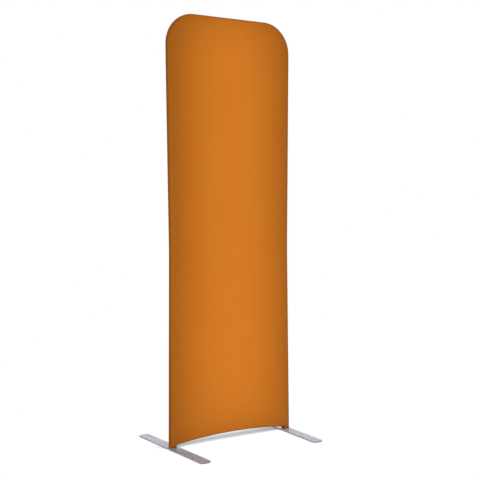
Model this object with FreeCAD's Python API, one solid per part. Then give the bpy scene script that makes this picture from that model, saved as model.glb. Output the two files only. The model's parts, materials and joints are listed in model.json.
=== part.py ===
import FreeCAD, Part
import math
import os

# Fabric display wall: a tube frame on two flat feet, inside a stretched cloth cover.
# X runs across the wall, the front faces -Y and Z is up. The origin is on the floor,
# in the middle of the wall. All sizes are in millimetres.

# Driving dimensions of the wall
wall_height = 2300.0
wall_width = 780.0
post_draw_in = 11.2

# Frame tubes
tube_diameter = 32.0
tube_wall = 1.5
bend_radius = 148.0
bend_leg = 60.0

# Tube joints: a spigot, pinned in one tube and locked in the other by a sprung button
spigot_reach = 45.0
spigot_wall = 2.0
spigot_play = 0.12
spigot_chamfer = 1.0
pin_diameter = 4.0
pin_from_joint = 26.0
pin_below_surface = 0.2
pin_clearance = 0.1
button_diameter = 8.0
button_clearance = 0.15
button_proud = 2.5
button_dome = 2.0
button_from_joint = 22.0
button_flange_diameter = 10.0
button_flange_thickness = 1.2
button_seat_gap = 0.1
spring_thickness = 0.8
spring_width = 7.0
spring_length = 40.0
spring_gap = 0.05

# Crossbar near the floor, and the stubs that carry it
crossbar_height = 150.0
crossbar_diameter = 25.0
crossbar_wall = 1.5
crossbar_end_gap = 1.0
stub_reach = 48.0
stub_wall = 2.3
stub_play = 0.2
stub_floor = 8.0
stub_button_from_end = 14.0
stub_spring_length = 20.0
saddle_gap = 0.1
bolt_diameter = 6.0
bolt_head_diameter = 10.0
bolt_head_height = 5.0
bolt_clearance = 0.2
thread_gap = 0.05
nut_size = 16.0
nut_thickness = 6.0

# Feet
foot_length = 664.0
foot_width = 65.0
foot_inset = 8.0
foot_toe_in = 1.9
foot_thickness = 6.0
foot_corner_radius = 22.0
foot_chamfer = 0.8
pad_thickness = 1.0
pad_length = 60.0
pad_width = 45.0
pad_corner_radius = 8.0
pad_from_end = 14.0
collar_thickness = 3.0
foot_pin_reach = 50.0
foot_pin_play = 0.15
foot_pin_chamfer = 2.0
foot_screw_diameter = 10.0
foot_screw_head_diameter = 19.0
foot_screw_length = 27.0
foot_screw_recess = 0.3
foot_screw_clearance = 0.3
hex_socket_size = 6.0
hex_socket_depth = 3.0

# Cloth cover
cloth_thickness = 0.7
cloth_clearance = 0.3
hem_above_plate = 16.5
cuff_gap = 0.5
hem_rise = 22.0
gusset_gap = 0.2

# Zip, low on the back
zip_above_hem = 66.0
zip_side_margin = 70.0
tape_width = 14.0
tape_thickness = 0.6
tape_overrun = 12.0
chain_width = 5.2
chain_thickness = 2.2
stop_length = 4.0
slider_length = 14.0
slider_plate = 1.2
slider_flange = 1.0
slider_clearance = 0.4
slider_corner_radius = 2.0
slider_end_gap = 1.0
wedge_width = 3.2
slot_clearance = 0.7
stud_diameter = 3.6
stud_head_diameter = 6.0
stud_head_thickness = 1.0
pull_length = 30.0
pull_width = 9.0
pull_tip_width = 6.0
pull_thickness = 1.8
pull_clearance = 0.1
pull_gap = 0.4

# Derived sizes
tube_radius = tube_diameter / 2
tube_bore = tube_radius - tube_wall
cloth_inner = tube_radius + cloth_clearance
cloth_outer = cloth_inner + cloth_thickness
post_x = wall_width / 2 - cloth_outer
top_z = wall_height - cloth_outer
bend_x = post_x - bend_radius
bend_z = top_z - bend_radius
plate_x = post_x - foot_inset
plate_top = pad_thickness + foot_thickness
post_foot = plate_top + collar_thickness
corner_joint = bend_z - bend_leg
mid_joint = (post_foot + corner_joint) / 2
lean = post_draw_in / (mid_joint - post_foot)
spigot_radius = tube_bore - lean * spigot_reach - spigot_play
spigot_bore = spigot_radius - spigot_wall
foot_pin_radius = tube_bore - lean * foot_pin_reach - foot_pin_play
crossbar_radius = crossbar_diameter / 2
stub_radius = crossbar_radius - crossbar_wall - stub_play
stub_bore = stub_radius - stub_wall
hem_z = plate_top + hem_above_plate
hem_mid_z = hem_z + hem_rise
zip_z = hem_mid_z + zip_above_hem
zip_end = wall_width / 2 - zip_side_margin

X = FreeCAD.Vector(1, 0, 0)
Y = FreeCAD.Vector(0, 1, 0)
Z = FreeCAD.Vector(0, 0, 1)
ORIGIN = FreeCAD.Vector(0, 0, 0)


def at(x, y, z):
    return FreeCAD.Vector(x, y, z)


def post_axis(z):
    """How far a post's axis stands from the middle of the wall at a height."""
    if z < mid_joint:
        return post_x - lean * (z - post_foot)
    return post_x - lean * max(corner_joint - z, 0)


def save(name, shape):
    shape.exportStep("parts/" + name + ".step")


def mirrored(shape):
    return shape.mirror(ORIGIN, X)


def face_of(edges):
    return Part.Face(Part.Wire(edges))


def lines(points):
    return [Part.LineSegment(a, b).toShape() for a, b in zip(points, points[1:])]


def polygon(points):
    return face_of(lines(points + points[:1]))


def arc(start, middle, end):
    return Part.Arc(start, middle, end).toShape()


def ring(outer, inner, centre, normal):
    wires = [Part.Wire(Part.makeCircle(r, centre, normal)) for r in (outer, inner)]
    return Part.makeFace(wires, "Part::FaceMakerBullseye")


def cylinder(radius, start, along):
    return Part.makeCylinder(radius, along.Length, start, along)


def box(low, high):
    size = high - low
    return Part.makeBox(size.x, size.y, size.z, low)


def rounded_plate(width, length, thickness, radius, centre):
    """A flat plate with rounded corners, standing on its centre point."""
    low = centre - at(width / 2, length / 2, 0)
    plate = Part.makeBox(width, length, thickness, low)
    uprights = [e for e in plate.Edges if abs(e.tangentAt(e.FirstParameter).z) > 0.9]
    return plate.makeFillet(radius, uprights)


def frame_at(origin, along, across):
    """A placement with Z along a tube and X out through its button."""
    rotation = FreeCAD.Rotation(across, along.cross(across), along, "ZXY")
    return FreeCAD.Placement(origin, rotation)


def placed(shape, placement):
    moved = shape.copy()
    moved.Placement = placement.multiply(shape.Placement)
    return moved


def straight_run(section, start, end, cut_start, cut_end):
    """A section about the Z axis, carried from start to end in the wall's plane.

    Each end is trimmed along a direction in that plane, so that runs meet in a mitre.
    """
    over = tube_diameter
    length = start.distanceToPoint(end)
    upright = section.extrude(Z * (length + 2 * over)).translated(Z * -over)
    run = placed(upright, FreeCAD.Placement(start, FreeCAD.Rotation(Z, end - start)))
    reach = 2 * tube_diameter
    window = polygon([start - cut_start * reach, start + cut_start * reach,
                      end + cut_end * reach, end - cut_end * reach])
    return run.common(window.extrude(Y * (2 * reach)).translated(Y * -reach)).Solids[0]


# Snap buttons: Z along the tube, X out through the button, origin on the tube's axis
def flange_back(bore):
    """Distance from the axis to the back of a button's flange, seated in a bore."""
    half = button_flange_diameter / 2
    return math.sqrt(bore ** 2 - half ** 2) - button_seat_gap - button_flange_thickness


def snap_button(bore, outer_radius):
    back = flange_back(bore)
    seat = back + button_flange_thickness
    tip = outer_radius + button_proud
    neck = tip - button_dome
    half = button_diameter / 2
    dome_radius = (half ** 2 + button_dome ** 2) / (2 * button_dome)
    dome_turn = math.asin(half / dome_radius) / 2
    on_dome = at(tip - dome_radius * (1 - math.cos(dome_turn)), 0, dome_radius * math.sin(dome_turn))
    flange_edge = button_flange_diameter / 2
    side = lines([at(tip, 0, 0), at(back, 0, 0), at(back, 0, flange_edge), at(seat, 0, flange_edge),
                  at(seat, 0, half), at(neck, 0, half)])
    dome = arc(at(neck, 0, half), on_dome, at(tip, 0, 0))
    return face_of(side + [dome]).revolve(ORIGIN, X, 360)


def snap_spring(bore, length):
    """A bent strip: one arm behind the button, the other against the far wall."""
    half_width = spring_width / 2
    front = flange_back(bore) - spring_gap
    back = math.sqrt(bore ** 2 - half_width ** 2) - spring_gap
    flat = button_flange_diameter / 2
    inner = [at(front - spring_thickness, 0, flat), at(front - spring_thickness, 0, -flat),
             at(0, 0, spring_thickness - length), at(spring_thickness - back, 0, flat)]
    outer = [at(-back, 0, flat), at(-spring_thickness, 0, -length),
             at(spring_thickness, 0, -length), at(front, 0, -flat), at(front, 0, flat)]
    return polygon(inner + outer).extrude(Y * spring_width).translated(Y * -half_width)


def spigot():
    body = Part.makeCylinder(spigot_radius, 2 * spigot_reach, at(0, 0, -spigot_reach))
    rims = [e for e in body.Edges if e.Closed]
    body = body.makeChamfer(spigot_chamfer, rims)
    return body.cut(Part.makeCylinder(spigot_bore, 2 * spigot_reach, at(0, 0, -spigot_reach)))


def pin(radius, half_length):
    return cylinder(radius, at(0, -half_length, -pin_from_joint), Y * (2 * half_length))


def button_hole(offset):
    return cylinder(button_diameter / 2 + button_clearance, at(0, 0, offset), X * tube_diameter)


def tube_joint(origin, along, across):
    """The pieces of one tube joint, and the holes that its two tubes need."""
    frame = frame_at(origin, along, across)
    pin_hole = pin(pin_diameter / 2 + pin_clearance, tube_diameter)
    lock_hole = button_hole(button_from_joint)
    raised = Z * button_from_joint
    pieces = {
        "spigot": spigot().cut([pin_hole, lock_hole]),
        "pin": pin(pin_diameter / 2, tube_radius - pin_below_surface),
        "button": snap_button(spigot_bore, tube_radius).translated(raised),
        "spring": snap_spring(spigot_bore, spring_length).translated(raised),
        "pin_hole": pin_hole,
        "lock_hole": lock_hole,
    }
    return {name: placed(shape, frame) for name, shape in pieces.items()}


mid = tube_joint(at(post_axis(mid_joint), 0, mid_joint), Z, -X)
corner = tube_joint(at(post_x, 0, corner_joint), Z, -X)
centre = tube_joint(at(0, 0, top_z), X, -Z)


# Crossbar stub on the right-hand post: a cup bolted to the post, with a button near its end
def on_post(z):
    return at(post_axis(z), 0, z)


def post_cylinder(radius, low, high):
    return cylinder(radius, on_post(low), on_post(high) - on_post(low))


stub_axis = post_axis(crossbar_height)
stub_face = stub_axis - tube_radius
stub_end = stub_face - stub_reach
stub_low = crossbar_height - tube_diameter
stub_high = crossbar_height + tube_diameter
stub_frame = frame_at(at(stub_end + stub_button_from_end, 0, crossbar_height), -X, -Z)
stub_lock_hole = placed(button_hole(0), stub_frame)
stub_button = placed(snap_button(stub_bore, crossbar_radius), stub_frame)
stub_spring = placed(snap_spring(stub_bore, stub_spring_length), stub_frame)


def along_stub(radius, x_from, x_to):
    return cylinder(radius, at(x_from, 0, crossbar_height), X * (x_to - x_from))


bolt_hole = along_stub(bolt_diameter / 2 + bolt_clearance, stub_end, stub_axis)
cup_floor = stub_face - stub_floor
nut_face = stub_axis - tube_bore
nut_back = nut_face + nut_thickness


def crossbar_stub():
    body = along_stub(stub_radius, stub_end, stub_axis)
    body = body.cut(post_cylinder(tube_radius + saddle_gap, stub_low, stub_high))
    return body.cut([along_stub(stub_bore, stub_end, cup_floor), bolt_hole, stub_lock_hole])


def stub_bolt():
    head = along_stub(bolt_head_diameter / 2, cup_floor - bolt_head_height, cup_floor)
    shank = along_stub(bolt_diameter / 2 - thread_gap, cup_floor, nut_back + bolt_diameter / 2)
    return head.fuse(shank).removeSplitter()


def stub_nut():
    half = nut_size / 2
    block = box(at(nut_face - tube_wall, -half, crossbar_height - half),
                at(nut_back, half, crossbar_height + half))
    nut = block.common(post_cylinder(tube_bore - saddle_gap, stub_low, stub_high))
    return nut.cut(along_stub(bolt_diameter / 2, stub_end, stub_axis))


def crossbar():
    half = stub_face - crossbar_end_gap
    section = ring(crossbar_radius, crossbar_radius - crossbar_wall, at(-half, 0, crossbar_height), X)
    return section.extrude(X * (2 * half)).cut([stub_lock_hole, mirrored(stub_lock_hole)])


# Tubes of the right-hand side
def post_tube(low, high):
    section = ring(tube_radius, tube_bore, ORIGIN, Z)
    return straight_run(section, on_post(low), on_post(high), X, X)


def post_lower():
    return post_tube(post_foot, mid_joint).cut([mid["pin_hole"], bolt_hole])


def post_upper():
    return post_tube(mid_joint, corner_joint).cut([mid["lock_hole"], corner["pin_hole"]])


def top_bend():
    leg = ring(tube_radius, tube_bore, on_post(corner_joint), Z).extrude(Z * bend_leg)
    curve = ring(tube_radius, tube_bore, on_post(bend_z), Z).revolve(at(bend_x, 0, bend_z), -Y, 90)
    bar = ring(tube_radius, tube_bore, at(bend_x, 0, top_z), X).extrude(X * -bend_x)
    return leg.fuse([curve, bar]).removeSplitter().cut(corner["lock_hole"])


# Right-hand foot: a plate on pads, with a pin that the post turns on
def toed_in(shape):
    """Turn a piece of the foot about the post, with its front end towards the other foot."""
    return shape.rotated(at(post_x, 0, 0), Z, -foot_toe_in)


def foot_plate():
    plate = rounded_plate(foot_width, foot_length, foot_thickness, foot_corner_radius,
                          at(plate_x, 0, pad_thickness))
    top_edges = [e for e in plate.Edges if e.BoundBox.ZMin > plate_top - foot_chamfer]
    plate = plate.makeChamfer(foot_chamfer, top_edges)
    return toed_in(plate.cut(screw_shape(foot_screw_clearance, pad_thickness)))


def screw_shape(clearance, head_z):
    """A countersunk screw, or its hole where a clearance is given."""
    head = foot_screw_head_diameter / 2 + clearance
    shank = foot_screw_diameter / 2 + clearance
    neck_z = head_z + head - shank
    outline = [at(0, 0, head_z), at(head, 0, head_z), at(shank, 0, neck_z),
               at(shank, 0, head_z + foot_screw_length), at(0, 0, head_z + foot_screw_length)]
    return polygon(outline).revolve(ORIGIN, Z, 360).translated(X * post_x)


def foot_screw():
    head_z = pad_thickness + foot_screw_recess
    middle = at(post_x, 0, head_z)
    spoke = X * (hex_socket_size / math.sqrt(3))
    corners = [middle + FreeCAD.Rotation(Z, 60 * turn).multVec(spoke) for turn in range(6)]
    return screw_shape(-thread_gap, head_z).cut(polygon(corners).extrude(Z * hex_socket_depth))


def foot_pin():
    collar = cylinder(tube_radius, at(post_x, 0, plate_top), Z * collar_thickness)
    stem = cylinder(foot_pin_radius, at(post_x, 0, post_foot), Z * foot_pin_reach)
    top_edge = [e for e in stem.Edges if e.Closed and e.BoundBox.ZMin > post_foot]
    stem = stem.makeChamfer(foot_pin_chamfer, top_edge)
    screw_tip = pad_thickness + foot_screw_recess + foot_screw_length
    thread_end = screw_tip + foot_screw_diameter / 2
    thread = cylinder(foot_screw_diameter / 2, at(post_x, 0, plate_top), Z * (thread_end - plate_top))
    return collar.fuse(stem).removeSplitter().cut(thread)


def foot_pads():
    offset = foot_length / 2 - pad_from_end - pad_length / 2
    pads = [rounded_plate(pad_width, pad_length, pad_thickness, pad_corner_radius, at(plate_x, y, 0))
            for y in (-offset, offset)]
    return toed_in(Part.makeCompound(pads))


# Cloth cover: a flat sheet whose edge rolls a quarter turn over the tubes
def quarter_section():
    """Section of the cloth over the front outer quarter of a tube."""
    diagonal = math.sqrt(0.5)
    outer = arc(at(0, -cloth_outer, 0), at(cloth_outer * diagonal, -cloth_outer * diagonal, 0),
                at(cloth_outer, 0, 0))
    inner = arc(at(cloth_inner, 0, 0), at(cloth_inner * diagonal, -cloth_inner * diagonal, 0),
                at(0, -cloth_inner, 0))
    seam = Part.LineSegment(at(cloth_outer, 0, 0), at(cloth_inner, 0, 0)).toShape()
    front = Part.LineSegment(at(0, -cloth_inner, 0), at(0, -cloth_outer, 0)).toShape()
    return face_of([outer, seam, inner, front])


def rolled_edge():
    """The cloth's rolled edge, from the hem up the post, round the bend and to the middle."""
    section = quarter_section()
    half_lean = math.atan(lean) / 2
    mitre = at(math.cos(half_lean), 0, -math.sin(half_lean))
    lower = straight_run(section, on_post(hem_z), on_post(mid_joint), X, X)
    upper = straight_run(section, on_post(mid_joint), on_post(corner_joint), X, mitre)
    leg = straight_run(section, on_post(corner_joint), on_post(bend_z), mitre, X)
    bend_centre = at(bend_x, 0, bend_z)
    curve_start = section.translated(on_post(bend_z))
    curve = curve_start.revolve(bend_centre, -Y, 90)
    bar = curve_start.rotated(bend_centre, -Y, 90).extrude(X * -bend_x)
    return [lower, upper, leg, curve, bar]


hem_post_x = post_axis(hem_z)
leg_inner = hem_post_x - cloth_outer
hem_radius = (leg_inner ** 2 + hem_rise ** 2) / (2 * hem_rise)


def hem_path(y, rise):
    """Half of the arched hem, from the middle of the wall to the leg, then level to the post."""
    half_turn = math.asin(leg_inner / hem_radius) / 2
    drop = hem_radius * (1 - math.cos(half_turn))
    middle = at(hem_radius * math.sin(half_turn), y, hem_mid_z - drop + rise)
    arched = arc(at(0, y, hem_mid_z + rise), middle, at(leg_inner, y, hem_z + rise))
    return [arched] + lines([at(leg_inner, y, hem_z + rise), at(hem_post_x, y, hem_z + rise)])


def half_sheet():
    y = -cloth_outer
    diagonal = bend_radius * math.sqrt(0.5)
    up_post = lines([at(hem_post_x, y, hem_z), at(post_axis(mid_joint), y, mid_joint),
                     at(post_x, y, corner_joint), at(post_x, y, bend_z)])
    bend = arc(at(post_x, y, bend_z), at(bend_x + diagonal, y, bend_z + diagonal), at(bend_x, y, top_z))
    to_middle = lines([at(bend_x, y, top_z), at(0, y, top_z), at(0, y, hem_mid_z)])
    return face_of(hem_path(y, 0) + up_post + [bend] + to_middle).extrude(Y * cloth_thickness)


def front_cloth():
    half = half_sheet().fuse(rolled_edge())
    return half.fuse(mirrored(half)).removeSplitter()


def back_cloth():
    sheet = front_cloth().mirror(ORIGIN, Y)
    half_slot = chain_width / 2 + slider_clearance + slider_flange + slot_clearance
    half_length = zip_end + stop_length + slot_clearance
    slot = box(at(-half_length, cloth_inner, zip_z - half_slot),
               at(half_length, cloth_outer, zip_z + half_slot))
    return sheet.cut(slot)


def bottom_gusset():
    low = hem_path(-cloth_inner, 0)
    high = hem_path(-cloth_inner, cloth_thickness)
    ends = [Part.LineSegment(at(x, -cloth_inner, z), at(x, -cloth_inner, z + cloth_thickness)).toShape()
            for x, z in ((0, hem_mid_z), (hem_post_x, hem_z))]
    half = face_of(Part.__sortEdges__(low + high + ends)).extrude(Y * (2 * cloth_inner))
    half = half.cut(post_cylinder(cloth_outer + gusset_gap, post_foot, hem_mid_z))
    return half.fuse(mirrored(half)).removeSplitter()


def leg_cuff():
    section = ring(cloth_outer, cloth_inner, ORIGIN, Z)
    return straight_run(section, on_post(plate_top + cuff_gap), on_post(hem_z), X, X)


# Zip: two tapes sewn inside the back sheet, with the chain between their edges
tape_high_y = cloth_inner
tape_low_y = tape_high_y - tape_thickness
chain_y = (tape_low_y + tape_high_y) / 2
slider_x = zip_end - slider_end_gap - slider_length / 2
channel_half = chain_thickness / 2 + slider_clearance
slider_half = channel_half + slider_plate
slider_out_y = chain_y + slider_half
pull_low_y = slider_out_y + pull_gap
pull_high_y = pull_low_y + pull_thickness
stud_top_y = pull_high_y + pull_gap


def zip_box(x_from, x_to, half_height, half_depth):
    return box(at(x_from, chain_y - half_depth, zip_z - half_height),
               at(x_to, chain_y + half_depth, zip_z + half_height))


def zip_tapes():
    tapes = []
    for low in (zip_z + chain_width / 2, zip_z - chain_width / 2 - tape_width):
        tapes.append(box(at(-zip_end - tape_overrun, tape_low_y, low),
                         at(zip_end + tape_overrun, tape_high_y, low + tape_width)))
    return Part.makeCompound(tapes)


def zip_chain():
    return zip_box(-zip_end, slider_x, chain_width / 2, chain_thickness / 2)


def zip_stops():
    half_gap = wedge_width / 4
    bottom = zip_box(-zip_end - stop_length, -zip_end, chain_width / 2, chain_thickness / 2)
    top = zip_box(zip_end, zip_end + stop_length, chain_width / 2, chain_thickness / 2)
    top = top.cut(zip_box(zip_end, zip_end + stop_length, half_gap, chain_thickness))
    return Part.makeCompound([bottom] + top.Solids)


def zip_slider():
    start = slider_x - slider_length / 2
    end = slider_x + slider_length / 2
    channel_height = chain_width / 2 + slider_clearance
    outer_height = channel_height + slider_flange
    body = zip_box(start, end, outer_height, slider_half)
    corners = [e for e in body.Edges if abs(e.tangentAt(e.FirstParameter).y) > 0.9]
    body = body.makeFillet(slider_corner_radius, corners)
    body = body.cut(zip_box(start, end, channel_height, channel_half))
    body = body.cut(zip_box(start, end, outer_height, tape_thickness / 2 + slider_clearance))
    half = wedge_width / 2
    floor_y = chain_y - channel_half
    wedge_start = slider_x + slider_clearance
    wedge_end = end - slider_clearance
    wedge_middle = (wedge_start + wedge_end) / 2
    diamond = polygon([at(wedge_start, floor_y, zip_z), at(wedge_middle, floor_y, zip_z - half),
                       at(wedge_end, floor_y, zip_z), at(wedge_middle, floor_y, zip_z + half)])
    wedge = diamond.extrude(Y * (2 * channel_half))
    stud = cylinder(stud_diameter / 2, at(slider_x, slider_out_y, zip_z), Y * (stud_top_y - slider_out_y))
    head = cylinder(stud_head_diameter / 2, at(slider_x, stud_top_y, zip_z), Y * stud_head_thickness)
    return body.fuse([wedge, stud, head]).removeSplitter()


def zip_pull():
    """A tab that hangs from the slider's stud: a round eye, tapering to a round tip."""
    depth = Y * pull_thickness
    eye_centre = at(slider_x, pull_low_y, zip_z)
    tip_centre = eye_centre - Z * (pull_length - pull_width / 2 - pull_tip_width / 2)
    eye = cylinder(pull_width / 2, eye_centre, depth)
    tip = cylinder(pull_tip_width / 2, tip_centre, depth)
    blade = polygon([eye_centre - X * (pull_width / 2), eye_centre + X * (pull_width / 2),
                     tip_centre + X * (pull_tip_width / 2), tip_centre - X * (pull_tip_width / 2)])
    hole = cylinder(stud_diameter / 2 + pull_clearance, eye_centre, depth)
    return eye.fuse([tip, blade.extrude(depth)]).removeSplitter().cut(hole)


os.makedirs("parts", exist_ok=True)

right_hand = {
    "post_lower": post_lower(),
    "post_upper": post_upper(),
    "mid_spigot": mid["spigot"],
    "mid_button": mid["button"],
    "mid_button_spring": mid["spring"],
    "corner_spigot": corner["spigot"],
    "corner_button": corner["button"],
    "corner_button_spring": corner["spring"],
    "crossbar_stub": crossbar_stub(),
    "crossbar_button": stub_button,
    "crossbar_button_spring": stub_spring,
    "foot_plate": foot_plate(),
    "foot_pin": foot_pin(),
    "foot_screw": foot_screw(),
    "foot_pads": foot_pads(),
    "leg_cuff": leg_cuff(),
}
for piece, shape in right_hand.items():
    save("right_" + piece, shape)
    save("left_" + piece, mirrored(shape))

right_bend = top_bend()
save("right_top_bend", right_bend.cut(centre["lock_hole"]))
save("left_top_bend", mirrored(right_bend).cut(centre["pin_hole"]))
save("top_centre_spigot", centre["spigot"])
save("top_centre_button", centre["button"])
save("top_centre_button_spring", centre["spring"])

side_pins = [mid["pin"], corner["pin"]]
save("spigot_pins", Part.makeCompound(side_pins + [mirrored(p) for p in side_pins] + [centre["pin"]]))
save("crossbar", crossbar())
save("stub_bolts", Part.makeCompound([stub_bolt(), mirrored(stub_bolt())]))
save("stub_nuts", Part.makeCompound([stub_nut(), mirrored(stub_nut())]))

save("front_cloth", front_cloth())
save("back_cloth", back_cloth())
save("bottom_gusset", bottom_gusset())
save("zip_tapes", zip_tapes())
save("zip_chain", zip_chain())
save("zip_stops", zip_stops())
save("zip_slider", zip_slider())
save("zip_pull", zip_pull())
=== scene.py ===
import json
import math

import bpy
from mathutils import Matrix, Vector


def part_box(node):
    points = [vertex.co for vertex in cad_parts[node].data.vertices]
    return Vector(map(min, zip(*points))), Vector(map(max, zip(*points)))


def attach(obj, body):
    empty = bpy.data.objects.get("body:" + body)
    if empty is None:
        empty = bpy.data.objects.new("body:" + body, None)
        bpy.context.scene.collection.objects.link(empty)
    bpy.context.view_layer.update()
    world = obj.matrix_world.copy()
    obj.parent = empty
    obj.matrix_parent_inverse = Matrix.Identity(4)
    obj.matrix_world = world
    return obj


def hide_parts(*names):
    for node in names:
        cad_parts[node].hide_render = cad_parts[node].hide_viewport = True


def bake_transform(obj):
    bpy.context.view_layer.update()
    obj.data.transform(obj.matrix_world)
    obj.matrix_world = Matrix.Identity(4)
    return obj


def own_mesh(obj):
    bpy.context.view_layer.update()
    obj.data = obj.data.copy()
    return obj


# Dresses the fabric display wall. All sizes are in metres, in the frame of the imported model.
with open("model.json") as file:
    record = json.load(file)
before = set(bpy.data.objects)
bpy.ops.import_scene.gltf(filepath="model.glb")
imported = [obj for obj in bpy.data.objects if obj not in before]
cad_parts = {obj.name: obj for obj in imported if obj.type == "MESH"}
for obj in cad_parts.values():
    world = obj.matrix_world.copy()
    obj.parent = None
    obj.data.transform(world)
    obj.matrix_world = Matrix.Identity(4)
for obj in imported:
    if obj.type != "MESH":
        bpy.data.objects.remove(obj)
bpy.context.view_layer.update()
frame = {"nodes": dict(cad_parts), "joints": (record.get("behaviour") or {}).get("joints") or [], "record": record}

# Camera, as in the photograph: angles in radians, lens and sensor in millimetres
camera_place = (-2.6645, -4.2167, 1.3436)
camera_turn = 0.5742
camera_down = 0.0488
camera_roll = -0.0042
camera_lens = 68.45
sensor_width = 36.0

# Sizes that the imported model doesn't give by a box
cloth_thickness = 0.0007
bend_leg = 0.060
seam_depth = 0.0006
gusset_gap = 0.0002
sleeve_margin = 0.004
sleeve_corner = 0.0025

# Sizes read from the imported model, where roll is the cloth's outer radius over a tube
sheet_low, sheet_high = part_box("front_cloth")
gusset_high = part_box("bottom_gusset")[1]
post_low, post_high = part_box("right_post_lower")
tube_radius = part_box("right_top_bend")[1].y
roll = -sheet_low.y
post_x = sheet_high.x - roll
top_z = sheet_high.z - roll
draw_in = post_high.x - post_low.x - 2 * tube_radius
post_foot = post_low.z
mid_z = post_high.z
corner_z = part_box("right_post_upper")[1].z
bend_z = corner_z + bend_leg
bend_radius = top_z - bend_z
bend_x = post_x - bend_radius
hem_leg = sheet_low.z
hem_mid = gusset_high.z - cloth_thickness
sleeve_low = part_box("right_leg_cuff")[0].z
sleeve_inner = roll + sleeve_margin


def post_axis(z):
    """Distance of the frame's axis from the middle of the wall at a height."""
    if z <= mid_z:
        return post_x - draw_in * (z - post_foot) / (mid_z - post_foot)
    if z <= bend_z:
        return post_x - draw_in * max(corner_z - z, 0) / (corner_z - mid_z)
    rise = min(z - bend_z, bend_radius)
    return bend_x + math.sqrt(bend_radius ** 2 - rise ** 2)


leg_axis = post_axis(hem_leg)
leg_inner = leg_axis - roll
hem_rise = hem_mid - hem_leg
hem_radius = (leg_inner ** 2 + hem_rise ** 2) / (2 * hem_rise)


def hem_height(x):
    """Height of the arched hem, level under the legs."""
    within = min(abs(x), leg_inner)
    return hem_mid - hem_radius + math.sqrt(hem_radius ** 2 - within ** 2)


# Zip, low on the back: its chain, tapes and stops, and the slot in the cloth round them
chain_low, chain_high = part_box("zip_chain")
slider_low, slider_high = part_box("zip_slider")
tape_low, tape_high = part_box("zip_tapes")
stop_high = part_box("zip_stops")[1]
zip_z = (chain_low.z + chain_high.z) / 2
zip_y = (tape_low.y + tape_high.y) / 2
chain_half = (chain_high.z - chain_low.z) / 2
slot_clearance = 0.0007
slot_half = (slider_high.z - slider_low.z) / 2 + slot_clearance
slot_low = zip_z - slot_half
slot_high = zip_z + slot_half
slot_end = stop_high.x + slot_clearance
slot_share = slot_end / post_axis(zip_z)
slot_edge = 0.0007
lip_turns = (math.radians(45), math.radians(90))

# Places across a tape's width, its thickness along both edges as a share, and its steps along the zip
tape_shares = (0.0, 0.02, 0.3, 0.7, 0.93, 1.0)
tape_edge_share = 0.6
tape_steps = 24

# Teeth of the zip
tooth_pitch = 0.0019
tooth_radius = 0.00058
tooth_stretch = 1.5
tooth_overlap = 0.0007
tooth_around = 8

# Stations along a tooth: how far each is from the middle of the zip towards the tape, and its swell there
tooth_stations = (
    (chain_half, 0.35),
    (chain_half * 0.8, 1.0),
    (0.0, 1.0),
    (-tooth_overlap, 1.25),
    (-2 * tooth_overlap, 0.5),
)

# Stitching: stitches, the rows' distances from hem and slot, and the groove that the cuff's row makes
stitch_pitch = 0.0034
stitch_length = 0.0027
stitch_width = 0.0007
stitch_height = 0.0003
hem_rows = (0.009, 0.0125)
hem_steps = 80
zip_rows = (0.0035, 0.0115)
cuff_row = 0.0045
cuff_z = sleeve_low + cuff_row
groove_half = 0.0006
groove_depth = 0.0002

# Painted shade in the cloth's colour: over a tube, from an angle in degrees, along the hem, and on a leg and its
# inner side
rim_shade_start = 15
rim_shade_span = 40
hem_painted_shade = 1.35
hem_shade_top = 0.010
leg_painted_shade = 0.2
foot_painted_shade = 1.3
inner_painted_shade = 0.35

# Grid of the sheets: rows from the hem to the top, columns from side to side, turns over the tubes at the rim
fold_steps = 4
hem_lifts = (cloth_thickness, 0.004, hem_shade_top, 0.03, 0.05)
blend_top = 0.095
row_gap = 0.028
bend_steps = 14
column_steps = 12
even_columns = 9
rim_turns = [math.radians(a) for a in (9, 18, 27, 36, 45, 54, 63, 72, 80, 86, 89, 90)]
seam_start = rim_turns[-3]
seam_end = rim_turns[-1]

# Grid of the gusset
gusset_across = 7
gusset_along = 41

# Grid of a leg sleeve: steps round its outside and its corners, and places along its flat sides
sleeve_round_steps = 12
sleeve_corner_steps = 4
sleeve_flat_shares = (0.25, 0.5)
sleeve_inner_share = 0.4

# Top rows of a sleeve: drop below the hem and inset of each, and the drop within which they follow its arch
sleeve_top = ((0.001, 0.0), (0.0003, 0.0002), (0.0, seam_depth))
sleeve_joint = 0.002

# Names of what the meshes give to the materials
cloth_map = "cloth"
# The cloth's painted shade, one value for each point, reaches the material under this name
painted_shade_map = "dark"


# Mesh helpers
def mesh_object(name, points, faces, places=None, dark=None):
    """A smooth piece from points and faces, with cloth places as its UV map."""
    mesh = bpy.data.meshes.new(name)
    mesh.from_pydata(points, [], faces)
    if places:
        layer = mesh.uv_layers.new(name=cloth_map)
        for loop, corner in zip(mesh.loops, layer.data):
            corner.uv = places[loop.vertex_index]
    # Painted shade for the cloth's colour, one value for each point
    if dark:
        attribute = mesh.attributes.new(painted_shade_map, "FLOAT", "POINT")
        attribute.data.foreach_set("value", dark)
    mesh.shade_smooth()
    piece = bpy.data.objects.new(name, mesh)
    bpy.context.scene.collection.objects.link(piece)
    return piece


class ClothMesh:
    """A cloth piece in the making: points, their places on the cloth, how much painted shade each has, and faces.
    """

    def __init__(self):
        self.points = []
        self.places = []
        # Painted shade of each point
        self.dark = []
        self.faces = []

    def add_point(self, point, place, dark=0.0):
        """Add a point and return its number."""
        self.points.append(point)
        self.places.append(place)
        self.dark.append(dark)
        return len(self.points) - 1

    def make(self, name):
        """The finished piece."""
        return mesh_object(name, self.points, self.faces, self.places, self.dark)


def strip_faces(count, across, flip=False):
    """Quads of a grid of count rows with a number of points across."""
    faces = []
    for row in range(count - 1):
        for column in range(across - 1):
            a = row * across + column
            quad = (a, a + 1, a + across + 1, a + across)
            faces.append(quad[::-1] if flip else quad)
    return faces


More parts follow.
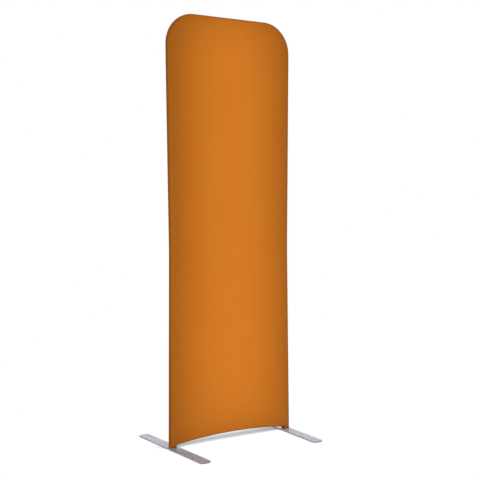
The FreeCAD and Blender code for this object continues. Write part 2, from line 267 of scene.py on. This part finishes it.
def tube_faces(first, count, around, flip=False):
    """Quads of a tube of count rings with a number of points around, from the first point on."""
    faces = []
    for ring in range(count - 1):
        for step in range(around):
            a = first + ring * around + step
            b = first + ring * around + (step + 1) % around
            quad = (a, b, b + around, a + around)
            faces.append(quad[::-1] if flip else quad)
    return faces


def arc(first, last, steps):
    """Even angles in radians between two angles in degrees."""
    return [math.radians(first + (last - first) * step / steps) for step in range(steps + 1)]


def fold_profile():
    """How far each row of a folded edge is lifted and set in, from inside to outside."""
    profile = []
    for step in range(fold_steps, 0, -1):
        turn = math.radians(90 * step / fold_steps)
        profile.append((cloth_thickness * (1 - math.sin(turn)), cloth_thickness * (1 - math.cos(turn))))
    return profile


# Cloth sheets: rows from the hem to the top, each rolled over the tubes at its ends
def rim_painted_shade(turn):
    """How much painted shade the cloth's colour gets where it turns over a tube."""
    return min(1.0, max(0.0, (math.degrees(turn) - rim_shade_start) / rim_shade_span))


def sheet_rows():
    """Each row's height over a leg, its radius over the tube and its share of the hem's arch."""
    rows = [(hem_leg + lift, roll - inset, 1.0) for lift, inset in fold_profile()]
    heights = [hem_leg + lift for lift in hem_lifts]
    heights += [blend_top, slot_low - slot_edge, slot_low, slot_high, slot_high + slot_edge]
    z = heights[-1] + row_gap
    while z < bend_z - row_gap / 2:
        heights.append(z)
        z += row_gap
    for step in range(bend_steps + 1):
        heights.append(bend_z + bend_radius * math.sin(math.pi / 2 * step / bend_steps))
    for height in heights:
        share = max(0.0, (blend_top - height) / (blend_top - hem_leg))
        rows.append((height, roll, share))
    return rows


def sheet_columns():
    """Each column's place as a share of the frame's half width, also at the slot's ends and the legs."""
    even = [step / column_steps for step in range(-even_columns, even_columns + 1)]
    past_slot = (slot_end + slot_edge) / post_axis(zip_z)
    leg = leg_inner / leg_axis
    return sorted(even + [side * u for side in (-1, 1) for u in (slot_share, past_slot, leg, 1.0)])


def outward_at(row_height, x):
    """Direction out of the frame at its border, in the wall's plane."""
    if row_height <= bend_z:
        return Vector((math.copysign(1, x), 0, 0))
    if abs(x) < bend_x:
        return Vector((0, 0, 1))
    centre = Vector((math.copysign(bend_x, x), 0, bend_z))
    return (Vector((x, 0, row_height)) - centre).normalized()


def add_rim(cloth, rows, border, across, side):
    """Roll the border of a sheet a quarter turn over the tubes, to a seam in its middle."""
    starts = [row * across + column for row, column in border]
    last = starts
    for turn in rim_turns:
        sunk = seam_depth * max(0.0, (turn - seam_start) / (seam_end - seam_start)) ** 2
        ring = []
        for (row, _), start in zip(border, starts):
            height, radius, _ = rows[row]
            x, _, z = cloth.points[start]
            out = outward_at(height, x)
            reach = (radius - sunk) * math.sin(turn)
            point = (x + out.x * reach, side * (radius - sunk) * math.cos(turn), z + out.z * reach)
            place = (x + out.x * roll * turn, z + out.z * roll * turn)
            # Each rim point gets painted shade by how far it has turned over the tube
            ring.append(cloth.add_point(point, place, rim_painted_shade(turn)))
        for a, b, c, d in zip(last, last[1:], ring[1:], ring):
            cloth.faces.append((d, c, b, a) if side > 0 else (a, b, c, d))
        last = ring


def cut_slot(cloth, rows, columns):
    """Open the zip's slot in a sheet and fold its edge inwards."""
    across = len(columns)
    low_row = [height for height, _, _ in rows].index(slot_low)
    first, last = columns.index(-slot_share), columns.index(slot_share)
    row_start = low_row * (across - 1)
    del cloth.faces[row_start + first:row_start + last]
    low = [low_row * across + column for column in range(first, last + 1)]
    high = [index + across for index in reversed(low)]
    edge = low + high
    ends = {low[0], low[-1], high[0], high[-1]}
    outer = edge
    for turn in lip_turns:
        drop = cloth_thickness * (1 - math.cos(turn))
        inset = cloth_thickness * math.sin(turn)
        ring = []
        for index in edge:
            x, y, z = cloth.points[index]
            end_inset = math.copysign(inset, x) if index in ends else 0.0
            point = (x - end_inset, y - drop, z + math.copysign(inset, zip_z - z))
            ring.append(cloth.add_point(point, (x, z)))
        cloth.faces.extend(zip(outer, outer[1:] + outer[:1], ring[1:] + ring[:1], ring))
        outer = ring


def cloth_sheet(name, side, slotted):
    """The front (side -1) or back (side 1) sheet of the cover."""
    rows = sheet_rows()
    columns = sheet_columns()
    across = len(columns)
    cloth = ClothMesh()
    for height, radius, share in rows:
        half = post_axis(height)
        # Painted shade along the hem, full at its edge and gone at the band's top; the legs' columns take the
        # leg's amount
        low = max(0.0, 1 - (height - hem_leg) / hem_shade_top)
        for u in columns:
            x = half * u
            z = height + (hem_height(x) - hem_leg) * share
            cloth.add_point((x, side * radius, z), (x, z), low * (leg_painted_shade if abs(u) == 1 else hem_painted_shade))
    cloth.faces = strip_faces(len(rows), across, flip=side > 0)
    if slotted:
        cut_slot(cloth, rows, columns)
    top = len(rows) - 1
    border = [(row, 0) for row in range(top)]
    border += [(top, column) for column in range(across)]
    border += [(row, across - 1) for row in range(top - 1, -1, -1)]
    add_rim(cloth, rows, border, across, side)
    return cloth.make(name)


def bottom_strip():
    """The strip that closes the cover between the two hems, cut round the legs."""
    half_depth = roll - cloth_thickness
    points, places = [], []
    for row in range(gusset_across):
        y = half_depth * (2 * row / (gusset_across - 1) - 1)
        end = leg_axis - math.sqrt((roll + gusset_gap) ** 2 - y ** 2)
        for column in range(gusset_along):
            x = end * (2 * column / (gusset_along - 1) - 1)
            points.append((x, y, hem_height(x)))
            places.append((x, y))
    return mesh_object("gusset", points, strip_faces(gusset_across, gusset_along, flip=True), places)


# Leg sleeves: the ends of the cover round the legs
def sleeve_section(inset):
    """The sleeve's outline: round over the outside of the leg, flat in front, behind and inside."""
    radius = roll - inset
    inner = sleeve_inner - inset
    back_half = [(radius * math.cos(t), radius * math.sin(t)) for t in arc(0, 90, sleeve_round_steps)]
    back_half += [(-inner * share, radius) for share in sleeve_flat_shares]
    corner_out = sleeve_corner - inner
    corner_y = radius - sleeve_corner
    for t in arc(90, 180, sleeve_corner_steps):
        back_half.append((corner_out + sleeve_corner * math.cos(t), corner_y + sleeve_corner * math.sin(t)))
    back_half.append((-inner, radius * sleeve_inner_share))
    front_half = [(out, -y) for out, y in reversed(back_half)]
    return back_half + [(-inner, 0.0)] + front_half


def sleeve_painted_shade(out, z):
    """Painted shade on the sleeve: darker towards the foot, over the tube and on its inner side."""
    low = leg_painted_shade + foot_painted_shade * (hem_leg - z) / (hem_leg - sleeve_low)
    if out > 0:
        return max(low, rim_painted_shade(math.asin(min(1.0, out / roll))))
    return low + (inner_painted_shade if out < sleeve_corner - sleeve_inner else 0.0)


def leg_sleeve(name, side):
    """The left (side -1) or right (side 1) sleeve, with its lower edge folded in."""
    rings = [(sleeve_low + lift, inset) for lift, inset in fold_profile()]
    rings += [(sleeve_low + cloth_thickness, 0.0), (cuff_z - groove_half, 0.0)]
    rings += [(cuff_z, groove_depth), (cuff_z + groove_half, 0.0)]
    rings += [(hem_leg - drop, inset) for drop, inset in sleeve_top]
    cloth = ClothMesh()
    for z, inset in rings:
        section = sleeve_section(inset)
        travelled = 0.0
        last = section[0]
        for out, y in section:
            travelled += math.dist(last, (out, y))
            last = (out, y)
            x = side * (post_axis(z) + out)
            rise = hem_height(x) - hem_leg if z > hem_leg - sleeve_joint else 0.0
            cloth.add_point((x, y, z + rise), (travelled, z), sleeve_painted_shade(out, z))
    cloth.faces = strip_faces(len(rings), len(section), flip=side < 0)
    return cloth.make(name)


# Stitching: short raised threads along a line
def add_stitches(points, faces, line, normal_at):
    """Stitches along a line of points, standing on the cloth whose normal is given."""
    travelled = stitch_pitch / 2
    for start, end in zip(line, line[1:]):
        run = (end - start).length
        along = (end - start).normalized()
        while travelled < run:
            middle = start + along * travelled
            up = normal_at(middle)
            side = along.cross(up)
            first = len(points)
            points.extend(middle + along * (s * stitch_length / 2) for s in (-1, 1))
            points.extend(middle + side * (s * stitch_width / 2) for s in (-1, 1))
            points.append(middle + up * stitch_height)
            tail, head, left, right, top = range(first, first + 5)
            faces.extend([(left, tail, top), (head, left, top), (right, head, top), (tail, right, top)])
            travelled += stitch_pitch
        travelled -= run


def hem_line(side, above):
    """A line along the hem of the front (side -1) or back (side 1) sheet, at a height above it."""
    line = []
    for step in range(hem_steps + 1):
        x = leg_inner * (2 * step / hem_steps - 1)
        line.append(Vector((x, side * roll, hem_height(x) + above)))
    return line


def cuff_line(side):
    """A line round the left (side -1) or right (side 1) sleeve, in its groove."""
    section = sleeve_section(groove_depth)
    return [Vector((side * (post_axis(cuff_z) + out), y, cuff_z)) for out, y in section]


def sleeve_normal(place, side):
    """Direction out of a sleeve at a place on it."""
    out = side * place.x - post_axis(place.z)
    if out > 0:
        return Vector((side * out, place.y, 0)).normalized()
    if abs(place.y) > roll - sleeve_corner:
        return Vector((0, math.copysign(1, place.y), 0))
    return Vector((-side, 0, 0))


def stitching():
    """All the cover's stitches: along both hems, round both sleeves and along the zip."""
    points, faces = [], []
    for side in (-1, 1):
        outward = Vector((0, side, 0))
        for above in hem_rows:
            add_stitches(points, faces, hem_line(side, above), lambda place: outward)
        add_stitches(points, faces, cuff_line(side), lambda place: sleeve_normal(place, side))
    backward = Vector((0, 1, 0))
    end = slot_end + zip_rows[0]
    for row in zip_rows:
        for direction in (-1, 1):
            z = zip_z + direction * (slot_half + row)
            line = [Vector((x, roll, z)) for x in (-end, end)]
            add_stitches(points, faces, line, lambda place: backward)
    return mesh_object("stitching", points, faces)


# Zip: woven tapes and nylon teeth
def zip_tape(name, outer, inner):
    """One tape from its outer edge to the edge that carries the teeth, thinner at both."""
    section = []
    half = (tape_high.y - tape_low.y) / 2
    for share in tape_shares:
        at_edge = share in (0.0, 1.0)
        section.append((outer + (inner - outer) * share, half * (tape_edge_share if at_edge else 1.0)))
    outline = [(zip_y + half_y, z) for z, half_y in section]
    outline += [(zip_y - half_y, z) for z, half_y in reversed(section)]
    if inner < outer:
        outline.reverse()
    points, places = [], []
    for step in range(tape_steps + 1):
        x = tape_low.x + (tape_high.x - tape_low.x) * step / tape_steps
        points.extend((x, y, z) for y, z in outline)
        places.extend((x, z) for y, z in outline)
    around = len(outline)
    faces = tube_faces(0, tape_steps + 1, around)
    faces += [tuple(range(around))[::-1], tuple(range(tape_steps * around, (tape_steps + 1) * around))]
    return mesh_object(name, points, faces, places)


def add_tooth(points, faces, x, direction):
    """One tooth of the coil: a rounded bar from the tape to past the middle."""
    first = len(points)
    for reach, swell in tooth_stations:
        radius = tooth_radius * swell
        for step in range(tooth_around):
            turn = 2 * math.pi * step / tooth_around
            y = zip_y + radius * tooth_stretch * math.sin(turn)
            points.append((x + radius * math.cos(turn), y, zip_z + direction * reach))
    faces.extend(tube_faces(first, len(tooth_stations), tooth_around, flip=direction > 0))


def zip_coil(name, direction, first):
    """The teeth of the upper (direction 1) or lower (direction -1) tape, the first at a share of a pitch."""
    points, faces = [], []
    count = int((chain_high.x - chain_low.x) / tooth_pitch)
    for step in range(count):
        add_tooth(points, faces, chain_low.x + tooth_pitch * (step + first), direction)
    return mesh_object(name, points, faces)


# Material helpers
def new_material(name):
    """A material with its node tree and its shader."""
    material = bpy.data.materials.new(name)
    material.use_nodes = True
    tree = material.node_tree
    return material, tree, tree.nodes["Principled BSDF"]


def set_shader(tree, shader, colour, **values):
    """Link the colour and set other inputs of the shader, by name with spaces as underscores."""
    tree.links.new(colour, shader.inputs["Base Color"])
    for key, value in values.items():
        shader.inputs[key.replace("_", " ")].default_value = value


def add_node(tree, kind, **values):
    """A node whose inputs, by name with spaces as underscores, or settings are given."""
    node = tree.nodes.new(kind)
    for key, value in values.items():
        label = key.replace("_", " ")
        if label in node.inputs:
            node.inputs[label].default_value = value
        else:
            setattr(node, key, value)
    return node


def object_places(tree):
    """Places in metres, in a piece's own frame."""
    return tree.nodes.new("ShaderNodeTexCoord").outputs["Object"]


def cloth_places(tree):
    """Places in metres on the cloth, from its UV map."""
    return add_node(tree, "ShaderNodeUVMap", uv_map=cloth_map).outputs["UV"]


def mix_colour(tree, factor, first, second):
    """A mix of a colour, or the colour that a socket gives, and a second colour."""
    node = add_node(tree, "ShaderNodeMix", data_type="RGBA")
    if isinstance(first, tuple):
        node.inputs["A"].default_value = first
    else:
        tree.links.new(first, node.inputs["A"])
    node.inputs["B"].default_value = second
    tree.links.new(factor, node.inputs["Factor"])
    return node.outputs["Result"]


def add_bump(tree, shader, height, strength, distance):
    """Bump on the shader, from a height and the distance that a height of 1 stands for."""
    bump = add_node(tree, "ShaderNodeBump", Strength=strength, Distance=distance)
    tree.links.new(height, bump.inputs["Height"])
    tree.links.new(bump.outputs["Normal"], shader.inputs["Normal"])


def wave(tree, coordinates, direction, period):
    """Even ribs, one in each period along a direction."""
    own_period = math.pi / 10
    node = add_node(tree, "ShaderNodeTexWave", wave_type="BANDS", bands_direction=direction,
                    wave_profile="SIN", Scale=own_period / period)
    tree.links.new(coordinates, node.inputs["Vector"])
    return node.outputs["Fac"]


def noise(tree, coordinates, size, detail=2.0):
    """Soft uneven patches of about a size."""
    node = add_node(tree, "ShaderNodeTexNoise", Scale=1 / size, Detail=detail)
    tree.links.new(coordinates, node.inputs["Vector"])
    return node.outputs["Fac"]


def math_node(tree, operation, *values):
    """The result of a sum on numbers or sockets."""
    node = add_node(tree, "ShaderNodeMath", operation=operation)
    for socket, value in zip(node.inputs, values):
        if isinstance(value, (int, float)):
            socket.default_value = value
        else:
            tree.links.new(value, socket)
    return node.outputs["Value"]


def vector_node(tree, operation, first, second=None):
    """A sum on the vector that a socket gives, and on a second vector where there is one."""
    node = add_node(tree, "ShaderNodeVectorMath", operation=operation)
    tree.links.new(first, node.inputs[0])
    if second:
        node.inputs[1].default_value = second
    return node


# Materials: sizes of weave and grain in metres, colours as linear red, green, blue and alpha
wale_pitch = 0.0009
course_pitch = 0.0007
fuzz_size = 0.0004
heather_size = 0.0016
heather_share = 0.25
patch_size = 0.22
painted_shade_share = 0.7
cloth_orange = (0.640, 0.184, 0.013, 1)
cloth_light = (0.675, 0.203, 0.016, 1)
cloth_fleck = (0.52, 0.143, 0.010, 1)
# The colour that painted shade darkens the cloth towards
cloth_painted_shade = (0.30, 0.100, 0.012, 1)

thread_grain = 0.002
thread_dark = (0.60, 0.17, 0.02, 1)
thread_light = (0.72, 0.24, 0.03, 1)

weft_pitch = 0.0006
warp_pitch = 0.0008
# Painted shade between the weave's ribs, and the colour of the ribs
tape_groove_shade = (0.42, 0.12, 0.014, 1)
tape_light = (0.58, 0.17, 0.02, 1)

nylon_grain = 0.0008
nylon_dark = (0.46, 0.13, 0.016, 1)
nylon_light = (0.58, 0.18, 0.022, 1)

metal_patch = 0.06
metal_relief = 0.00005
gloss_spread = 0.08

rubber_grain = 0.0015
rubber_dark = (0.018, 0.018, 0.018, 1)
rubber_light = (0.035, 0.035, 0.035, 1)


def knit_cloth():
    """Stretch knit: fine wales and courses, a soft sheen, and painted shade over a tube and at its lower ends."""
    material, tree, shader = new_material("knit_cloth")
    places = cloth_places(tree)
    wales = wave(tree, places, "X", wale_pitch)
    courses = wave(tree, places, "Y", course_pitch)
    loops = math_node(tree, "MULTIPLY", wales, courses)
    height = math_node(tree, "ADD", loops, noise(tree, places, fuzz_size))
    add_bump(tree, shader, height, strength=0.3, distance=0.00012)
    colour = mix_colour(tree, noise(tree, places, patch_size, detail=3.0), cloth_orange, cloth_light)
    flecks = math_node(tree, "MULTIPLY", noise(tree, places, heather_size), heather_share)
    colour = mix_colour(tree, flecks, colour, cloth_fleck)
    # Painted shade from the mesh mixes the colour towards the shade colour
    dark = add_node(tree, "ShaderNodeAttribute", attribute_name=painted_shade_map)
    shade = math_node(tree, "MULTIPLY", dark.outputs["Fac"], painted_shade_share)
    colour = mix_colour(tree, shade, colour, cloth_painted_shade)
    set_shader(tree, shader, colour, Roughness=0.85, Specular_IOR_Level=0.2,
               Sheen_Weight=0.08, Sheen_Roughness=0.5)
    return material


def thread():
    """Sewing thread, a little uneven in colour."""
    material, tree, shader = new_material("thread")
    grain = noise(tree, object_places(tree), thread_grain)
    set_shader(tree, shader, mix_colour(tree, grain, thread_dark, thread_light), Roughness=0.6)
    return material


def woven_tape():
    """The zip's tape: a plain weave, with painted shade between its ribs."""
    material, tree, shader = new_material("woven_tape")
    places = cloth_places(tree)
    weft = wave(tree, places, "X", weft_pitch)
    warp = wave(tree, places, "Y", warp_pitch)
    ribs = math_node(tree, "MAXIMUM", weft, warp)
    add_bump(tree, shader, ribs, strength=0.5, distance=0.0001)
    set_shader(tree, shader, mix_colour(tree, ribs, tape_groove_shade, tape_light), Roughness=0.8)
    return material


def nylon_coil():
    """The zip's teeth, in dyed nylon with some gloss."""
    material, tree, shader = new_material("nylon_coil")
    grain = noise(tree, object_places(tree), nylon_grain)
    set_shader(tree, shader, mix_colour(tree, grain, nylon_dark, nylon_light), Roughness=0.35)
    return material


def metal(name, dark, light, roughness, grain_size, bump, metallic=1.0, ior=1.5):
    """Satin metal, or silver paint, with a fine grain, a little uneven in colour and gloss."""
    material, tree, shader = new_material(name)
    places = object_places(tree)
    grain = noise(tree, places, grain_size, detail=3.0)
    patches = noise(tree, places, metal_patch)
    add_bump(tree, shader, grain, strength=bump, distance=metal_relief)
    rough = math_node(tree, "MULTIPLY_ADD", patches, gloss_spread, roughness - gloss_spread / 2)
    tree.links.new(rough, shader.inputs["Roughness"])
    set_shader(tree, shader, mix_colour(tree, patches, dark, light), Metallic=metallic, IOR=ior)
    return material


def rubber():
    """The feet's pads, in matt black rubber."""
    material, tree, shader = new_material("rubber")
    grain = noise(tree, object_places(tree), rubber_grain)
    add_bump(tree, shader, grain, strength=0.3, distance=0.0002)
    set_shader(tree, shader, mix_colour(tree, grain, rubber_dark, rubber_light), Roughness=0.75)
    return material


cloth_look = knit_cloth()
thread_look = thread()
looks = {
    "cloth": cloth_look,
    "zip_tape": woven_tape(),
    "zip_chain": nylon_coil(),
    "zip_metal": metal("satin_nickel", dark=(0.50, 0.50, 0.51, 1), light=(0.58, 0.58, 0.59, 1),
                       roughness=0.32, grain_size=0.0008, bump=0.1),
    "foot_silver": metal("silver_paint", dark=(0.37, 0.365, 0.43, 1), light=(0.41, 0.405, 0.475, 1),
                         roughness=0.32, grain_size=0.0006, bump=0.15, metallic=0.0, ior=1.8),
    "foot_rubber": rubber(),
    "small_steel": metal("zinc_steel", dark=(0.48, 0.48, 0.49, 1), light=(0.60, 0.60, 0.60, 1),
                         roughness=0.3, grain_size=0.0005, bump=0.1),
    "tube_aluminium": metal("anodised_tube", dark=(0.68, 0.68, 0.69, 1), light=(0.75, 0.75, 0.76, 1),
                            roughness=0.38, grain_size=0.0009, bump=0.1),
}

# Each solid takes the look of its slot
for subpart in frame["record"]["subparts"]:
    node = frame["nodes"][subpart["node"]]
    node.data.materials.clear()
    node.data.materials.append(looks[subpart["material_slot"]])


def dress(piece, look, slot_name, *replaced):
    """Give a piece its material, let it ride on the frame and stand for its solids."""
    piece.data.materials.clear()
    piece.data.materials.append(look)
    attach(piece, "frame")
    if replaced:
        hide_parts(*replaced)
    return piece


# Pieces
front = dress(cloth_sheet("front_sheet", -1, False), cloth_look, "cloth", "front_cloth")
back = dress(cloth_sheet("back_sheet", 1, True), cloth_look, "cloth", "back_cloth")
gusset = dress(bottom_strip(), cloth_look, "cloth", "bottom_gusset")
left_sleeve = dress(leg_sleeve("left_sleeve", -1), cloth_look, "cloth", "left_leg_cuff")
right_sleeve = dress(leg_sleeve("right_sleeve", 1), cloth_look, "cloth", "right_leg_cuff")
stitches = dress(stitching(), thread_look, "cloth")
upper_tape = dress(zip_tape("upper_tape", tape_high.z, zip_z + chain_half),
                   looks["zip_tape"], "zip_tape", "zip_tapes")
lower_tape = dress(zip_tape("lower_tape", tape_low.z, zip_z - chain_half),
                   looks["zip_tape"], "zip_tape", "zip_tapes")
upper_coil = dress(zip_coil("upper_coil", 1, 0.5), looks["zip_chain"], "zip_chain", "zip_chain")
lower_coil = dress(zip_coil("lower_coil", -1, 1.0), looks["zip_chain"], "zip_chain", "zip_chain")

# Each coil of teeth gets a mesh of its own
for teeth, direction in ((upper_coil, 1), (lower_coil, -1)):
    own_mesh(teeth)


def bending_spring(button):
    """A copy of a snap button's spring, which stands in for the imported one."""
    node = frame["nodes"][button + "_spring"]
    mesh = node.data.copy()
    mesh.transform(node.matrix_world)
    piece = bpy.data.objects.new(button + "_blade", mesh)
    bpy.context.scene.collection.objects.link(piece)
    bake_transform(piece)
    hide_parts(button + "_spring")


for joint in frame["joints"]:
    if joint["name"].endswith("button_press"):
        bending_spring(joint["child"])


# Floor and surroundings: the floor turns from lit paint, near the wall, to plain white
floor_half = 6.0
floor_near = 0.04
floor_far = 0.13
floor_glow = 0.15
floor_bounce = (0.13, 0.13, 0.13, 1)
floor_paint = (0.95, 0.99, 1, 1)
white = (1, 1, 1, 1)
fill_strength = 0.08
white_strength = 1.0


def seen_directly(tree):
    """1 for rays from the camera, a reflection or a clear piece, and 0 for the rest."""
    path = tree.nodes.new("ShaderNodeLightPath")
    shiny = math_node(tree, "MAXIMUM", path.outputs["Is Glossy Ray"], path.outputs["Is Transmission Ray"])
    return math_node(tree, "MAXIMUM", path.outputs["Is Camera Ray"], shiny)


def mix_shader(tree, factor, first, second):
    """A mix of two shaders."""
    mixed = tree.nodes.new("ShaderNodeMixShader")
    tree.links.new(factor, mixed.inputs["Fac"])
    tree.links.new(first, mixed.inputs[1])
    tree.links.new(second, mixed.inputs[2])
    return mixed.outputs["Shader"]


def wall_distance(tree):
    """How far a place on the floor is from the ground under the wall."""
    reach = vector_node(tree, "ABSOLUTE", object_places(tree))
    reach = vector_node(tree, "SUBTRACT", reach.outputs["Vector"], (leg_inner, roll, 0))
    reach = vector_node(tree, "MAXIMUM", reach.outputs["Vector"], (0, 0, 0))
    return vector_node(tree, "LENGTH", reach.outputs["Vector"]).outputs["Value"]


def white_floor():
    """A pale floor that reads as white where it is lit and keeps the wall's shadow."""
    material = bpy.data.materials.new("floor")
    material.use_nodes = True
    tree = material.node_tree
    tree.nodes.clear()
    output = tree.nodes.new("ShaderNodeOutputMaterial")
    bounce = add_node(tree, "ShaderNodeBsdfDiffuse", Color=floor_bounce)
    near = add_node(tree, "ShaderNodeBsdfDiffuse", Color=floor_paint)
    far = add_node(tree, "ShaderNodeEmission", Color=white, Strength=white_strength)
    fade = add_node(tree, "ShaderNodeMapRange", From_Min=floor_near, From_Max=floor_far, To_Min=floor_glow)
    tree.links.new(wall_distance(tree), fade.inputs["Value"])
    shown = mix_shader(tree, fade.outputs["Result"], near.outputs["BSDF"], far.outputs["Emission"])
    surface = mix_shader(tree, seen_directly(tree), bounce.outputs["BSDF"], shown)
    tree.links.new(surface, output.inputs["Surface"])
    return material


def floor():
    """The floor that the wall stands on, which isn't part of it."""
    corners = [(x * floor_half, y * floor_half, 0) for x, y in ((-1, -1), (1, -1), (1, 1), (-1, 1))]
    piece = mesh_object("floor", corners, [(0, 1, 2, 3)])
    piece.data.materials.append(white_floor())
    return piece


def white_world():
    """Soft even light all round, and white where the camera or a reflection looks past the wall."""
    world = bpy.data.worlds.new("studio")
    world.use_nodes = True
    tree = world.node_tree
    tree.nodes.clear()
    output = tree.nodes.new("ShaderNodeOutputWorld")
    fill = add_node(tree, "ShaderNodeBackground", Color=white, Strength=fill_strength)
    plain = add_node(tree, "ShaderNodeBackground", Color=white, Strength=white_strength)
    surface = mix_shader(tree, seen_directly(tree), fill.outputs["Background"], plain.outputs["Background"])
    tree.links.new(surface, output.inputs["Surface"])
    bpy.context.scene.world = world


# Light and camera
def softbox(name, place, target, size, power, spread):
    """A lamp with a width and a height, a power in watts and a spread in degrees, aimed at a target."""
    light = bpy.data.lights.new(name, "AREA")
    light.shape = "RECTANGLE"
    light.size, light.size_y = size
    light.energy = power
    light.spread = math.radians(spread)
    lamp = bpy.data.objects.new(name, light)
    bpy.context.scene.collection.objects.link(lamp)
    lamp.location = place
    aim = Vector(target) - Vector(place)
    lamp.rotation_euler = aim.to_track_quat("-Z", "Y").to_euler()
    lamp.visible_camera = False
    lamp.visible_glossy = False
    return lamp


def link_light(lamp, pieces, state):
    """Let a lamp light only the pieces given, or all but those."""
    linked = bpy.data.collections.new(lamp.name)
    for piece in pieces:
        linked.objects.link(piece)
    for member in linked.collection_objects:
        member.light_linking.link_state = state
    lamp.light_linking.receiver_collection = linked


def photo_camera():
    """The camera, turned to the right, tilted down and rolled as in the photograph."""
    data = bpy.data.cameras.new("camera")
    data.lens = camera_lens
    data.sensor_width = sensor_width
    camera = bpy.data.objects.new("camera", data)
    bpy.context.scene.collection.objects.link(camera)
    turned = Matrix.Rotation(-camera_turn, 4, "Z") @ Matrix.Rotation(math.pi / 2 - camera_down, 4, "X")
    camera.matrix_world = Matrix.Translation(camera_place) @ turned @ Matrix.Rotation(camera_roll, 4, "Z")
    bpy.context.scene.camera = camera


ground = floor()
white_world()
plates = [frame["nodes"][side + "_foot_plate"] for side in ("left", "right")]

# Lamps for the whole wall: a strip in front of it, a low one for the hem, and one from the left
on_wall = [
    softbox("strip", (0.015, -0.75, 1.245), (0.015, 0, 1.245), size=(0.72, 2.35), power=4.6, spread=60),
    softbox("low", (0.04, -0.3, 0.08), (0.04, 0, 0.08), size=(0.84, 0.1), power=0.13, spread=100),
    softbox("side", (-4.0, -0.8, 1.4), (0, 0, 1.2), size=(1.0, 2.0), power=22, spread=100),
]
for lamp in on_wall:
    link_light(lamp, [ground], "EXCLUDE")

# Lamps for the back and the top, which would be too much for the feet
on_cloth = [
    softbox("back", (2.2, 2.8, 1.45), (0, 0, 1.0), size=(1.5, 2.4), power=66, spread=120),
    softbox("over", (0.05, 0.45, 3.3), (0.05, 0, 2.3), size=(1.0, 0.3), power=1.2, spread=60),
]
for lamp in on_cloth:
    link_light(lamp, [ground] + plates, "EXCLUDE")

# Lamps for the feet alone
on_feet = [
    softbox("feet", (0, -1.0, 3.0), (0, -0.1, 0), size=(2.0, 1.0), power=25, spread=180),
    softbox("right", (3.2, 0.3, 2.2), (0, 0, 0), size=(1.5, 1.5), power=88, spread=180),
    softbox("rear", (0.6, 3.0, 1.6), (0, 0, 1.1), size=(1.5, 2.4), power=44, spread=120),
]
for lamp in on_feet:
    link_light(lamp, plates, "INCLUDE")

# A wide lamp for the floor alone, which the wall shades
on_floor = softbox("ground", (0, -1.6, 1.9), (0, 0, 1.9), size=(3.0, 3.4), power=192, spread=180)
link_light(on_floor, [ground], "INCLUDE")

# The cloth throws none of its colour on the floor and the feet
for piece in (front, back, gusset, left_sleeve, right_sleeve):
    piece.visible_diffuse = False
photo_camera()
bpy.context.scene.view_settings.view_transform = "Standard"
